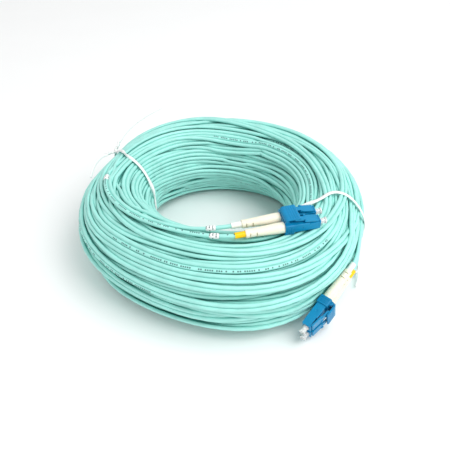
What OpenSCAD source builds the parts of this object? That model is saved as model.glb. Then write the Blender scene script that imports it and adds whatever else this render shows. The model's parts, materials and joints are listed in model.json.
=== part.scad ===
// Duplex LC to LC fibre optic patch cord, 50 m of 2.0 mm twin cord wound in a coil.
// Origin: middle of the coil's flat underside, +Z up. Plug A lies on the coil's crest,
// plug B stands on its edge beside the coil.

/* [Coil] */
// Radius from the coil's middle to the middle of the bundle
coil_r = 52; // [46:1:60]
// Width of the bundle, measured across the turns
bundle_w = 39; // [34:0.5:42]
// Height of the bundle
bundle_h = 43; // [40:0.5:46]
// Width of the flat that the bundle rests on
foot_w = 16; // [8:1:20]
// How far the coil's middle stands from the origin, along X
coil_dx = -0.8; // [-4:0.1:4]
// How far the coil's middle stands from the origin, along Y
coil_dy = 1; // [-4:0.1:6]

/* [Cord] */
// Diameter of one jacket of the twin cord
cord_d = 2; // [1.6:0.1:2]
// Diameter of the tight-buffered fibre inside each jacket
fiber_d = 0.9; // [0.6:0.05:0.9]

/* [Plugs] */
// Distance between the two channels of a duplex plug
pitch = 6.25; // [6.25:0.01:6.25]
// Side of the square plug nose
nose_w = 4.5; // [4.4:0.01:4.52]
// Length of a plug housing
housing_l = 14; // [13.6:0.1:14]
// Diameter of the ferrule
ferrule_d = 1.25; // [1.2:0.01:1.25]
// How far the ferrule stands out of the nose
ferrule_out = 1.8; // [1.4:0.1:2]
// Length of the bend boot behind the duplex clip
boot_l = 18; // [16:0.5:20]
// Length of the coloured marker sleeve behind each boot
marker_l = 4.8; // [4:0.1:6]

/* [Latch] */
// Rise of the latch lever from its root to its tail, in degrees
latch_rise = 9.5; // [9:0.5:9.5]
// Length of the latch lever
latch_l = 10.7; // [10:0.1:11]
// Width of the latch lever at its root
latch_w = 3.9; // [3.4:0.1:4]

/* [Dust caps] */
// Outer diameter of a dust cap's head
cap_d = 3.1; // [2.8:0.1:3.2]
// How far a dust cap stands out of the nose
cap_out = 3.4; // [3:0.1:4]

/* [Ties] */
// Width of a twist tie
tie_w = 3; // [2:0.5:4]
// Thickness of a twist tie
tie_t = 0.8; // [0.5:0.1:1]

/* [Hidden] */

$fn = 48;
eps = 0.01;
fit = 0.05;  // clearance of a part in its seat, on the radius

// Where each duplex plug lies, measured from the coil's middle on the floor. A plug's own
// frame has X out of the nose, Y across the two channels and Z on the latch side, with
// x = 0 at the nose front.
plug_pos = [[42.9, -35.2, 46.6], [38, -69.2, 8]];
plug_rot = [[6, 0, 15], [-94, 17, -130]];
coil_middle = [coil_dx, coil_dy, 0];
END_A = 0;
END_B = 1;
// Side of the plug that carries channel 1: the two ends are crossed over
side_1 = [1, -1];

// Stations along a plug, from the nose front backwards
nose_bore_x = -2.6;
nose_wall_x = -3.6;
flange_back_x = -5.8;
ferrule_back_x = -4.7;
spring_back_x = -11.5;
housing_back_x = -housing_l;
flange_end_x = -15.4;
clip_front_x = -12.6;
clip_back_x = -16.8;
boot_front_x = -15.9;
post_end_x = -19.2;
crimp_back_x = -20.4;
crimp_neck_x = -22.8;
boot_back_x = clip_back_x - boot_l;
marker_back_x = boot_back_x - marker_l;
cord_front_x = -20;
straight_back_x = marker_back_x - 2.5;

// Radii inside a plug
ferrule_r = ferrule_d / 2;
nose_bore_r = 1.6;
chamber_r = 1.6;
flange_r = 1.4;
spring_r = 1.1;
spring_wire_r = 0.16;
post_r = 1.35;
fiber_r = fiber_d / 2;
cord_r = cord_d / 2;
cavity_r = 2.45;
boot_front_r = 2.55;
boot_back_r = 1.95;
boot_bore_r = 1.9;

// Latch and trigger, in the plug's XZ plane
latch_root = [-1.5, 2.45];
latch_root_r = 0.5;
latch_t = 0.8;
latch_tail_w = 2.2;
latch_step = 6.3;
trigger_hinge = [-15.9, 3.6];
trigger_pin_r = 0.45;
trigger_barrel_r = 0.65;
trigger_w = 9;
trigger_front_x = -9.6;
trigger_top_z = 5.5;
trigger_t = 0.8;
ear_in = 3.5;
ear_out = 4.4;

// Cord legs: route points of the middle of the pair, measured from the coil's middle, each
// [x, y, z, half the distance between the two jackets]
leg_a_route = [[-6, -44.5, 44.9, 2.4], [-12, -44, 44.5, 1.7], [-19, -42, 44.4, 1.2],
    [-26, -39.5, 44.4, 1.1], [-33, -36.5, 44.5, 1.1], [-39.5, -32.5, 44.6, 1.1],
    [-45, -28, 44.7, 1.1], [-50, -22.5, 44.6, 1.1], [-54, -16.5, 44.4, 1.1],
    [-56.5, -10, 44.2, 1.1], [-58, -3, 43.8, 1.1], [-58.5, 4, 42.8, 1.1], [-57.5, 10, 40, 1.1]];
leg_b_route = [[65, -31.5, 22.5, 2.4], [67, -24.5, 23.5, 1.7], [69, -18, 24, 1.2],
    [70.5, -11, 24.5, 1.1], [71, -4.5, 25, 1.1], [71, 2, 25.5, 1.1], [70, 8.5, 26.5, 1.1],
    [67.5, 15, 27, 1.1]];
leg_sides = 8;
label_r = 1.35;

// Ties: azimuth around the coil in degrees, and the free tails behind each twist, as pairs
// of end points measured from the coil's middle
tie_left_az = 160;
tie_right_az = -9;
tail_r = 0.5;
tie_left_tails = [[[-62, 22.5, 37], [-35, 62, 48]], [[-62, 22.5, 37], [-69, 12, 35]]];
tie_right_tails = [[[68, -10.8, 8], [67.5, -28, 4]], [[68, -10.8, 8], [66.5, -35.5, 2]]];

// ---- Placing ----

module in_end(end) {
    translate(coil_middle + plug_pos[end]) rotate(plug_rot[end]) children();
}

// Channel 1 is on side_1 of each plug and channel 2 on the other side
module in_channel(end, channel) {
    side = channel == 1 ? side_1[end] : -side_1[end];
    in_end(end) translate([0, side * pitch / 2, 0]) children();
}

// Turns local +Z onto +X, so that a lathe profile's height runs along the plug
module along_x() {
    rotate([0, 90, 0]) children();
}

function turn_x(v, a) = [v[0], v[1] * cos(a) - v[2] * sin(a), v[1] * sin(a) + v[2] * cos(a)];
function turn_y(v, a) = [v[0] * cos(a) + v[2] * sin(a), v[1], -v[0] * sin(a) + v[2] * cos(a)];
function turn_z(v, a) = [v[0] * cos(a) - v[1] * sin(a), v[0] * sin(a) + v[1] * cos(a), v[2]];
function turn(v, rot) = turn_z(turn_y(turn_x(v, rot[0]), rot[1]), rot[2]);
function from_plug(end, p) = plug_pos[end] + turn(p, plug_rot[end]);
function unit(v) = v / norm(v);

// ---- Shared shapes ----

module rounded_rect(w, h, r) {
    square([w, h - 2 * r], center = true);
    square([w - 2 * r, h], center = true);
    for (sx = [-1, 1], sy = [-1, 1]) translate([sx * (w / 2 - r), sy * (h / 2 - r)]) circle(r);
}

// A bar along X from x0 to x1, with a rounded section w across Y and h across Z
module bar_x(x0, x1, w, h, r) {
    translate([x0, 0, 0]) rotate([90, 0, 90]) linear_extrude(x1 - x0) rounded_rect(w, h, r);
}

module rod_x(x0, x1, r) {
    translate([x0, 0, 0]) along_x() cylinder(r = r, h = x1 - x0);
}

module ring_x(x0, x1, r_out, r_in) {
    difference() {
        rod_x(x0, x1, r_out);
        rod_x(x0 - eps, x1 + eps, r_in);
    }
}

// A plate outline in XZ, w wide across Y
module plate_xz(points, w) {
    rotate([90, 0, 0]) linear_extrude(w, center = true) polygon(points);
}

function ring_points(c, t, r, sides) =
    let (u = unit(cross(t, [0, 0, 1])), v = cross(u, t))
    [for (k = [0:sides - 1]) c + r * (cos(360 * k / sides) * u + sin(360 * k / sides) * v)];

function tangents(p) = let (n = len(p))
    [for (i = [0:n - 1]) unit(p[min(i + 1, n - 1)] - p[max(i - 1, 0)])];

// A round tube of radius r swept through the points p
module sweep(p, r, sides) {
    n = len(p);
    t = tangents(p);
    points = [for (i = [0:n - 1]) each ring_points(p[i], t[i], r, sides)];
    sides_faces = [for (i = [0:n - 2], k = [0:sides - 1])
        let (a = i * sides + k, b = i * sides + (k + 1) % sides)
        [a, b, b + sides, a + sides]];
    caps = [[for (k = [sides - 1:-1:0]) k], [for (k = [0:sides - 1]) (n - 1) * sides + k]];
    polyhedron(points, concat(sides_faces, caps));
}

// ---- Plug pieces, each in its channel's own frame ----

module plug_housing() {
    color("#1f8fc4") difference() {
        union() {
            bar_x(housing_back_x, 0, nose_w, nose_w, 0.25);
            // Rib under the latch
            translate([-10.6, -0.35, nose_w / 2 - eps]) cube([2.6, 0.7, 0.15]);
        }
        rod_x(nose_bore_x, eps, nose_bore_r);
        rod_x(nose_wall_x - eps, nose_bore_x + eps, 0.75);
        rod_x(housing_back_x - eps, nose_wall_x, chamber_r);
        // Seat of the latch root
        translate([-5.4, -nose_w / 2 - eps, 1.85]) cube([4.7, nose_w + 2 * eps, 1]);
        // Side dimples
        for (s = [-1, 1]) translate([-8.6, s * nose_w / 2, 0]) rotate([90, 0, 0])
            cylinder(r = 0.45, h = 0.4, center = true);
        // Front chamfers on the underside
        translate([0, 0, -nose_w / 2]) rotate([0, 45, 0]) cube([0.5, nose_w + 1, 0.5], center = true);
    }
}

module latch_lever() {
    root = latch_root;
    tail_x = -latch_l;
    color("#2596cc") translate([root[0], 0, root[1]]) {
        rotate([90, 0, 0]) cylinder(r = latch_root_r, h = latch_w, center = true);
        rotate([0, latch_rise, 0]) {
            // Wide root part, whose shoulders lock in an adapter
            translate([-latch_step, -latch_w / 2, -latch_t / 2]) cube([latch_step, latch_w, latch_t]);
            // Narrow tail under the trigger
            translate([tail_x, -latch_tail_w / 2, -latch_t / 2])
                cube([latch_l - latch_step + eps, latch_tail_w, latch_t]);
            // Raised shoulders
            for (s = [-1, 1]) translate([-latch_step, s * (latch_w / 2 - 0.35), 0])
                translate([0, -0.35, 0]) cube([1.1, 0.7, 0.75]);
        }
    }
}

module ferrule() {
    tip = 0.2;
    color("#f4f6f2") translate([ferrule_back_x, 0, 0]) along_x() rotate_extrude()
        polygon([[0, 0], [ferrule_r, 0], [ferrule_r, ferrule_out - ferrule_back_x - tip],
            [ferrule_r - tip, ferrule_out - ferrule_back_x], [0, ferrule_out - ferrule_back_x]]);
}

module ferrule_flange() {
    front = nose_wall_x - 0.02;
    color("#b8bcc0") difference() {
        union() {
            rod_x(front - 1, front, flange_r);
            rod_x(flange_back_x, front - 1 + eps, 0.9);
        }
        rod_x(ferrule_back_x, front + eps, ferrule_r);
        rod_x(flange_back_x - eps, ferrule_back_x + eps, fiber_r + 0.02);
    }
}

module spring() {
    turns = 6;
    steps = 12;
    length = flange_back_x - spring_back_x - 2 * spring_wire_r - 0.1;
    x0 = spring_back_x + spring_wire_r + 0.05;
    p = [for (i = [0:turns * steps]) let (a = 360 * i / steps)
        [x0 + length * i / (turns * steps), spring_r * cos(a), spring_r * sin(a)]];
    color("#a9adb2") sweep(p, spring_wire_r, 6);
}

module spring_body() {
    color("#c8ccd0") difference() {
        union() {
            rod_x(housing_back_x - eps, spring_back_x, chamber_r - fit);
            rod_x(flange_end_x, housing_back_x, cavity_r - 0.15);
            rod_x(post_end_x, flange_end_x + eps, post_r);
            for (x = [post_end_x + 0.5:0.8:flange_end_x - 0.8]) rod_x(x, x + 0.3, post_r + 0.03);
        }
        rod_x(post_end_x - eps, spring_back_x + eps, fiber_r + 0.1);
    }
}

module aramid_yarn() {
    color("#e6c84a") ring_x(post_end_x, flange_end_x - 0.5, post_r + 0.14, post_r + 0.04);
}

module crimp_sleeve() {
    front = flange_end_x - 0.4;
    color("#9ea3a8") difference() {
        union() {
            rod_x(crimp_back_x, front, 1.85);
            rod_x(crimp_neck_x, crimp_back_x + eps, 1.35);
        }
        rod_x(crimp_back_x + 0.2, front + eps, 1.5);
        rod_x(crimp_neck_x - eps, crimp_back_x + 0.2 + eps, cord_r + 0.03);
    }
}

module buffered_fiber() {
    color("#7fe0d0") rod_x(post_end_x + 0.6, ferrule_back_x, fiber_r);
}

module boot() {
    slit_w = 0.5;
    slits = [boot_back_x + 2, boot_back_x + 5];
    color("#fbf9eb") difference() {
        translate([boot_back_x, 0, 0]) along_x() rotate_extrude()
            polygon([[0, 0], [boot_back_r - 0.2, 0], [boot_back_r, 0.2], [boot_back_r, 3.4],
                [boot_front_r, boot_l - 3], [boot_front_r, boot_l - 0.05],
                [cavity_r - 0.1, boot_l - 0.05], [cavity_r - 0.1, boot_front_x - boot_back_x],
                [0, boot_front_x - boot_back_x]]);
        rod_x(crimp_back_x - 0.3, boot_front_x + eps, boot_bore_r);
        rod_x(crimp_neck_x - 0.3, crimp_back_x, 1.45);
        rod_x(boot_back_x - eps, crimp_neck_x, cord_r + 0.06);
        // Flex slits: each is cut from both sides and leaves a bridge above and below
        for (x = slits, s = [-1, 1]) translate([x, s * 1.65, 0])
            cube([slit_w, 1.1, 2.6], center = true);
    }
}

module marker_sleeve(tint) {
    color(tint) ring_x(marker_back_x, boot_back_x - 0.02, 1.42, cord_r + 0.03);
}

module dust_cap() {
    total = cap_out - nose_bore_x - 0.2;
    color("#eef2f0", 0.7) difference() {
        translate([nose_bore_x + 0.2, 0, 0]) along_x() rotate_extrude()
            polygon([[0, 0], [nose_bore_r - 0.1, 0], [nose_bore_r - 0.1, total - 2.8],
                [1.25, total - 2.5], [1.25, total - 1], [cap_d / 2, total - 0.8],
                [cap_d / 2, total - 0.15], [cap_d / 2 - 0.15, total], [0, total]]);
        rod_x(nose_bore_x, ferrule_out + 0.2, ferrule_r + 0.03);
        // Ring recess in the face of the head
        difference() {
            rod_x(cap_out - 0.5, cap_out + eps, 1.1);
            rod_x(cap_out - 0.6, cap_out + 2 * eps, 0.45);
        }
    }
}

// ---- Pieces of a duplex plug, in the plug's own frame ----

module duplex_clip() {
    w = pitch + nose_w + 1.1;
    h = 5.7;
    color("#1f8fc4") difference() {
        union() {
            bar_x(clip_back_x, clip_front_x, w, h, 0.5);
            // Ears that hold the trigger's hinge pins
            for (s = [-1, 1]) translate([0, s * (ear_in + ear_out) / 2, 0])
                plate_xz([[clip_back_x, 2.4], [clip_back_x, 3.4], [clip_back_x + 0.4, 4.4],
                    [trigger_hinge[0] + 0.6, 4.4], [clip_front_x - 1.4, 2.4]], ear_out - ear_in);
            // Grip ridges on the outer cheeks
            for (s = [-1, 1], x = [clip_back_x + 1:1:clip_front_x - 0.8])
                translate([x, s * w / 2, 0]) cylinder(r = 0.18, h = 3.6, center = true);
        }
        for (s = [-1, 1]) translate([0, s * pitch / 2, 0]) {
            bar_x(housing_back_x, clip_front_x + eps, nose_w + 0.04, nose_w + 0.04, 0.2);
            rod_x(clip_back_x - eps, housing_back_x + eps, cavity_r);
        }
        // Bores for the trigger's pins
        translate([trigger_hinge[0], 0, trigger_hinge[1]]) rotate([90, 0, 0])
            cylinder(r = trigger_pin_r + fit, h = 2 * ear_out + 1, center = true);
    }
}

module trigger() {
    hinge = trigger_hinge;
    top = trigger_top_z;
    under = top - trigger_t;
    bend_c = [hinge[0] + 0.9, under - 1];
    outer = [for (a = [90:15:180]) bend_c + (top - bend_c[1]) * [cos(a), sin(a)]];
    inner = [for (a = [180:-15:90]) bend_c + (under - bend_c[1]) * [cos(a), sin(a)]];
    ridges = 4;
    color("#1787bd") {
        difference() {
            plate_xz(concat([[trigger_front_x, top - 0.25], [trigger_front_x - 0.4, top]], outer,
                [[bend_c[0] - (top - bend_c[1]), hinge[1]]],
                [[bend_c[0] - (under - bend_c[1]), hinge[1]]], inner,
                [[trigger_front_x, under]]), trigger_w);
            // Room for the ears beside the hinge barrel
            for (s = [-1, 1]) translate([hinge[0] - 3, s * (ear_in - 0.1) - (s < 0 ? 2 : 0), 0])
                cube([3.9, 2, 4.6]);
        }
        translate([hinge[0], 0, hinge[1]]) rotate([90, 0, 0]) {
            cylinder(r = trigger_barrel_r, h = 2 * (ear_in - 0.1), center = true);
            cylinder(r = trigger_pin_r, h = 2 * ear_out, center = true);
        }
        for (i = [0:ridges - 1]) translate([trigger_front_x - 1.2 - i * 1.1, 0, top])
            rotate([90, 0, 0]) cylinder(r = 0.14, h = trigger_w - 0.6, center = true);
    }
}

// ---- Cord ----

// Outline of the bundle at one side, with a flat foot, grown by extra
module bundle_outline(extra) {
    r = bundle_w / 2;
    low = sqrt(r * r - foot_w * foot_w / 4);
    high = bundle_h - r;
    translate([coil_r, 0]) intersection() {
        union() {
            translate([0, low]) circle(r + extra);
            translate([0, high]) circle(r + extra);
            translate([-r - extra, low]) square([2 * (r + extra), high - low]);
        }
        translate([-bundle_w, 0]) square([2 * bundle_w, 2 * bundle_h]);
    }
}

module tie_band(az, extra) {
    angle = 2 * asin(tie_w / 2 / coil_r);
    rotate([0, 0, az - angle / 2]) rotate_extrude(angle = angle) difference() {
        bundle_outline(extra);
        bundle_outline(extra - tie_t);
    }
}

module cable_coil() {
    color("#8fdcd2") translate(coil_middle) difference() {
        rotate_extrude($fn = 96) bundle_outline(0);
        for (az = [tie_left_az, tie_right_az]) tie_band(az, eps);
    }
}

// Route of one jacket: straight out of its plug, then beside its twin
function leg_points(end, channel) =
    let (side = channel == 1 ? side_1[end] : -side_1[end])
    let (route = end == END_A ? leg_a_route : leg_b_route)
    let (mids = [for (p = route) [p[0], p[1], p[2]]])
    let (t = tangents(concat([from_plug(end, [straight_back_x, 0, 0])], mids)))
    concat(
        [for (x = [cord_front_x, (cord_front_x + boot_back_x) / 2, boot_back_x, marker_back_x,
            straight_back_x]) from_plug(end, [x, side * pitch / 2, 0])],
        [for (i = [0:len(route) - 1])
            let (out = end == END_A ? [0, 0, 1] : unit([mids[i][0], mids[i][1], 0]))
            mids[i] + side * route[i][3] * unit(cross(t[i + 1], out))]);

module cable_leg(end, channel) {
    color("#9ae6dc") translate(coil_middle) sweep(leg_points(end, channel), cord_r, leg_sides);
}

// Puts local +Z on the line from p to q, with the origin at p
module from_to(p, q) {
    d = q - p;
    translate(p) rotate([0, acos(d[2] / norm(d)), atan2(d[1], d[0])]) children();
}

// A white wrap around a jacket, halfway between two points of its route
module wrap_between(p, q, length) {
    from_to(p, q) translate([0, 0, norm(q - p) / 2]) difference() {
        cylinder(r = label_r, h = length, center = true);
        cylinder(r = cord_r, h = length + 1, center = true);
    }
}

module cable_labels() {
    near_plug = 4;
    at_coil = 15;
    color("#fbfbf8") translate(coil_middle) {
        for (channel = [1, 2]) {
            p = leg_points(END_A, channel);
            wrap_between(p[near_plug], p[near_plug + 1], 4.6);
        }
        p = leg_points(END_A, 2);
        wrap_between(p[at_coil], p[at_coil + 1], 5);
    }
}

// ---- Ties ----

module tie(az, tails) {
    color("#f7f8f6") translate(coil_middle) {
        tie_band(az, 0);
        for (t = tails) from_to(t[0], t[1]) cylinder(r = tail_r, h = norm(t[1] - t[0]));
    }
}

in_channel(END_A, 1) plug_housing();  // plug_housing_a1
in_channel(END_A, 2) plug_housing();  // plug_housing_a2
in_channel(END_B, 1) plug_housing();  // plug_housing_b1
in_channel(END_B, 2) plug_housing();  // plug_housing_b2
in_channel(END_A, 1) latch_lever();  // latch_lever_a1
in_channel(END_A, 2) latch_lever();  // latch_lever_a2
in_channel(END_B, 1) latch_lever();  // latch_lever_b1
in_channel(END_B, 2) latch_lever();  // latch_lever_b2
in_channel(END_A, 1) ferrule();  // ferrule_a1
in_channel(END_A, 2) ferrule();  // ferrule_a2
in_channel(END_B, 1) ferrule();  // ferrule_b1
in_channel(END_B, 2) ferrule();  // ferrule_b2
in_channel(END_A, 1) ferrule_flange();  // ferrule_flange_a1
in_channel(END_A, 2) ferrule_flange();  // ferrule_flange_a2
in_channel(END_B, 1) ferrule_flange();  // ferrule_flange_b1
in_channel(END_B, 2) ferrule_flange();  // ferrule_flange_b2
in_channel(END_A, 1) spring();  // spring_a1
in_channel(END_A, 2) spring();  // spring_a2
in_channel(END_B, 1) spring();  // spring_b1
in_channel(END_B, 2) spring();  // spring_b2
in_channel(END_A, 1) spring_body();  // spring_body_a1
in_channel(END_A, 2) spring_body();  // spring_body_a2
in_channel(END_B, 1) spring_body();  // spring_body_b1
in_channel(END_B, 2) spring_body();  // spring_body_b2
in_channel(END_A, 1) aramid_yarn();  // aramid_yarn_a1
in_channel(END_A, 2) aramid_yarn();  // aramid_yarn_a2
in_channel(END_B, 1) aramid_yarn();  // aramid_yarn_b1
in_channel(END_B, 2) aramid_yarn();  // aramid_yarn_b2
in_channel(END_A, 1) crimp_sleeve();  // crimp_sleeve_a1
in_channel(END_A, 2) crimp_sleeve();  // crimp_sleeve_a2
in_channel(END_B, 1) crimp_sleeve();  // crimp_sleeve_b1
in_channel(END_B, 2) crimp_sleeve();  // crimp_sleeve_b2
in_channel(END_A, 1) buffered_fiber();  // buffered_fiber_a1
in_channel(END_A, 2) buffered_fiber();  // buffered_fiber_a2
in_channel(END_B, 1) buffered_fiber();  // buffered_fiber_b1
in_channel(END_B, 2) buffered_fiber();  // buffered_fiber_b2
in_channel(END_A, 1) boot();  // boot_a1
in_channel(END_A, 2) boot();  // boot_a2
in_channel(END_B, 1) boot();  // boot_b1
in_channel(END_B, 2) boot();  // boot_b2
in_channel(END_A, 1) marker_sleeve("#f3f7ef");  // marker_sleeve_a1
in_channel(END_A, 2) marker_sleeve("#f5c81a");  // marker_sleeve_a2
in_channel(END_B, 1) marker_sleeve("#f3f7ef");  // marker_sleeve_b1
in_channel(END_B, 2) marker_sleeve("#f5c81a");  // marker_sleeve_b2
in_channel(END_A, 1) dust_cap();  // dust_cap_a1
in_channel(END_A, 2) dust_cap();  // dust_cap_a2
in_channel(END_B, 1) dust_cap();  // dust_cap_b1
in_channel(END_B, 2) dust_cap();  // dust_cap_b2
in_end(END_A) duplex_clip();  // duplex_clip_a
in_end(END_B) duplex_clip();  // duplex_clip_b
in_end(END_A) trigger();  // trigger_a
in_end(END_B) trigger();  // trigger_b
cable_coil();
cable_leg(END_A, 1);  // cable_leg_a1
cable_leg(END_A, 2);  // cable_leg_a2
cable_leg(END_B, 1);  // cable_leg_b1
cable_leg(END_B, 2);  // cable_leg_b2
tie(tie_left_az, tie_left_tails);  // tie_left
tie(tie_right_az, tie_right_tails);  // tie_right
cable_labels();
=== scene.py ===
"""A 50 m duplex fibre optic patch cord: two aqua jackets wound in a tied coil, with a blue duplex
plug at each end. Lengths are in metres unless a name ends in _mm."""
import json
import math

import bmesh
import bpy
import numpy as np
from mathutils import Matrix, Vector


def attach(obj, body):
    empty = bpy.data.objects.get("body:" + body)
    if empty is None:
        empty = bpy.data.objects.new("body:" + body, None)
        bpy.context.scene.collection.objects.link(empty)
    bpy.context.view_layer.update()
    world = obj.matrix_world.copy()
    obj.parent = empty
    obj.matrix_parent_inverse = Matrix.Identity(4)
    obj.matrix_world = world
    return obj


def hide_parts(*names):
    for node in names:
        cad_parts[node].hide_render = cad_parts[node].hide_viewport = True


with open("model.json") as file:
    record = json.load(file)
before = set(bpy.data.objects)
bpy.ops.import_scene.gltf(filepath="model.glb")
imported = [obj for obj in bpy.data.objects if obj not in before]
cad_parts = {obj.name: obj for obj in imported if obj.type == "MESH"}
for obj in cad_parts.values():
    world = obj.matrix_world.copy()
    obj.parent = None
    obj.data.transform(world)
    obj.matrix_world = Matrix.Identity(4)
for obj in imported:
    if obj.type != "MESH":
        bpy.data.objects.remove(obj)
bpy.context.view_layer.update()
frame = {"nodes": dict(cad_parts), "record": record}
scene = bpy.context.scene

MM = 0.001

# ---- The plugs' places, as in the CAD source, in mm from the coil's middle ----

COIL_MIDDLE_MM = np.array([-0.8, 1.0, 0.0])
PITCH_MM = 6.25
PLUG_POS_MM = {"a": (42.9, -35.2, 46.6), "b": (38.0, -69.2, 8.0)}
PLUG_ROT_DEG = {"a": (6.0, 0.0, 15.0), "b": (-94.0, 17.0, -130.0)}
SIDE_OF_CHANNEL = {"a1": 1, "a2": -1, "b1": -1, "b2": 1}

# Route of the middle of the pair of jackets behind each plug: x, y, z and half the gap, in mm
LEG_A_MM = [
    (-6, -44.5, 44.9, 2.4), (-12, -44, 44.5, 1.7), (-19, -42, 44.4, 1.2), (-26, -39.5, 44.4, 1.1),
    (-33, -36.5, 44.5, 1.1), (-39.5, -32.5, 44.6, 1.1), (-45, -28, 44.7, 1.1),
    (-50, -22.5, 44.6, 1.1), (-54, -16.5, 44.4, 1.1), (-56.5, -10, 44.2, 1.1),
    (-58, -3, 43.8, 1.1), (-58.5, 4, 42.8, 1.1), (-57.5, 10, 40, 1.1),
]
LEG_B_MM = [
    (65, -31.5, 22.5, 2.4), (67, -24.5, 23.5, 1.7), (69, -18, 24, 1.2), (70.5, -11, 24.5, 1.1),
    (71, -4.5, 25, 1.1), (71, 2, 25.5, 1.1), (70, 8.5, 26.5, 1.1), (67.5, 15, 27, 1.1),
]
# Places on a plug's own x axis: where the jacket starts, and the backs of the boot, the marker
# sleeve and the straight part of the jacket
JACKET_FRONT_X_MM = -20.0
MARKER_BACK_X_MM = -39.6
STRAIGHT_BACK_X_MM = -42.1


def plug_matrix(end):
    """The turn of plug "a" or "b" as a 3 x 3 array."""
    rx, ry, rz = (math.radians(a) for a in PLUG_ROT_DEG[end])
    turn = Matrix.Rotation(rz, 3, "Z") @ Matrix.Rotation(ry, 3, "Y") @ Matrix.Rotation(rx, 3, "X")
    return np.array(turn)


PLUG_TURN = {end: plug_matrix(end) for end in "ab"}


def from_plug(end, point_mm):
    """A point of a plug's own frame, in mm from the coil's middle."""
    return np.array(PLUG_POS_MM[end]) + PLUG_TURN[end] @ np.array(point_mm, float)


def on_channel(channel, x_mm):
    """A point on a channel's axis, in mm from the coil's middle."""
    return from_plug(channel[0], (x_mm, SIDE_OF_CHANNEL[channel] * PITCH_MM / 2, 0))


def to_world(points_mm):
    """Points in mm from the coil's middle, in metres in the frame."""
    return (np.asarray(points_mm) + COIL_MIDDLE_MM) * MM


# ---- Camera ----

CAMERA_ELEVATION = math.radians(39.5)
CAMERA_DISTANCE = 0.360
CAMERA_AIM = Vector((0.0012, 0.0152, 0.0)) + Vector(COIL_MIDDLE_MM * MM)
SENSOR_MM = 36.0
LENS_MM = 51.2

camera_data = bpy.data.cameras.new("camera")
camera = bpy.data.objects.new("camera", camera_data)
scene.collection.objects.link(camera)
camera_data.sensor_width = SENSOR_MM
camera_data.lens = LENS_MM
camera_data.clip_start = 0.01
camera.location = CAMERA_AIM + CAMERA_DISTANCE * Vector(
    (0, -math.cos(CAMERA_ELEVATION), math.sin(CAMERA_ELEVATION))
)
camera.rotation_euler = (math.pi / 2 - CAMERA_ELEVATION, 0, 0)
scene.camera = camera

# ---- The lay of the cord in the coil ----
#
# The coil is cut by SLICES planes through its middle. A turn crosses each plane once, and leaves
# two round jackets there. The jackets start in brick rows, wander from them in slow waves, and
# are then pushed apart until they lie beside and on each other.

SLICES = 64
TURNS = 150
# Half the bundle's mean width, and half its height
HALF_WIDTH_MM = 19.5
HALF_HEIGHT_MM = 22.2
# A jacket's diameter, and how far apart the middles of the pair's jackets lie
JACKET_MM = 2.0
TWIN_MM = 2.06
# The hand-wound ring's outer and inner radius in mm at azimuths in degrees: a little out of round
RING_MM = [
    (0, 70, 32), (15, 74, 33), (30, 79.5, 35), (45, 78, 36), (60, 70, 36.5), (75, 68, 36.5),
    (90, 71, 36.5), (115, 77, 37.5), (135, 75.5, 36.5), (155, 69, 34), (180, 76.5, 35.5),
    (200, 77, 35), (215, 69, 32.5), (240, 65, 29.5), (255, 66, 27.5), (270, 71.5, 29),
    (285, 78, 32), (300, 79, 34.5), (330, 72.5, 34), (345, 70.5, 33),
]
# How far the slumped bundle's foot stands out from its middle
LEAN_MM = 1.5
# Each tie's azimuth, and how much it squeezes the half width and the half height, in mm; and how
# far along the ring the squeeze reaches, in radians
TIE_SQUEEZES = ((math.radians(155), 2.6, 0.6), (math.radians(-14), 1.3, 0.8))
TIE_REACH = 0.30
# How far the whole bundle turns about its own middle on its way round, in radians
BUNDLE_TURN = 0.35
# The turns that lie loosely over the others: how many, how far out in the section they start, and
# how far past the outline they may lie
LOOSE_TURNS = 16
SHELL_SHARE = 0.76
LOOSE_LIFT = 0.06
# How much a turn wanders from its place, across and up in mm, and over how many turns
WANDER_MM = (2.8, 2.2)
WANDER_TURNS = 1.1
# How far a turn circles in the section: tight and loose turns in radians, and over how many turns
CIRCLE = 0.12
LOOSE_CIRCLE = 0.38
CIRCLE_TURNS = 0.9
# How far the pair of jackets rolls in radians, and over how many turns
ROLL = 0.5
ROLL_TURNS = 1.3
# How full the section's outline is, and how uneven
FULLNESS = 0.965
UNEVENNESS = 0.03
# The cord first winds down the outer places of the rows lower than this, from the bundle's middle
OUTSIDE_TOP_MM = 3
# The slice where the cord enters the coil, and how many slices its last turn leaves open
FIRST_SLICE = -4
OPEN_SLICES = 13
# Rounds of the relaxing, and how often each round straightens the jackets
ROUNDS = 150
STRAIGHTENINGS = 3
# How often the roll of the pair of jackets is smoothed at the end
ROLL_SMOOTHINGS = 8
# How many samples of each leg are smoothed where it joins the coil, and how often
LEG_B_SMOOTHED = 20
LEG_A_SMOOTHED = 40
LEG_SMOOTHINGS = 4
FAR_AWAY_MM = 900.0

random = np.random.RandomState(11)


def ring_smooth(column):
    """A column of RING_MM at every degree, smoothed round the ring."""
    degrees = np.arange(360)
    table = np.array(RING_MM, float)
    values = np.interp(degrees, table[:, 0], table[:, column], period=360)
    degrees_apart, rounds = 4, 60
    for _ in range(rounds):
        values = (np.roll(values, degrees_apart) + 2 * values + np.roll(values, -degrees_apart)) / 4
    return values


RING_OUTER = ring_smooth(1)
RING_INNER = ring_smooth(2)


def ring_at(values, azimuth):
    """The value, of one for each degree round the ring, at an azimuth in radians."""
    return np.interp(np.degrees(azimuth) % 360, np.arange(361), np.append(values, values[0]))


def ring_radius(azimuth):
    """The bundle's middle radius in mm."""
    return ring_at((RING_OUTER + RING_INNER) / 2, azimuth)


def waves(count, period):
    """A smooth random signal of count samples, about 1 in size."""
    terms = 6
    out = np.zeros(count)
    for _ in range(terms):
        wave = period * random.uniform(1.0, 3.5)
        out += np.sin(2 * np.pi * np.arange(count) / wave + random.uniform(0, 2 * np.pi))
    return out / math.sqrt(terms / 2)


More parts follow.
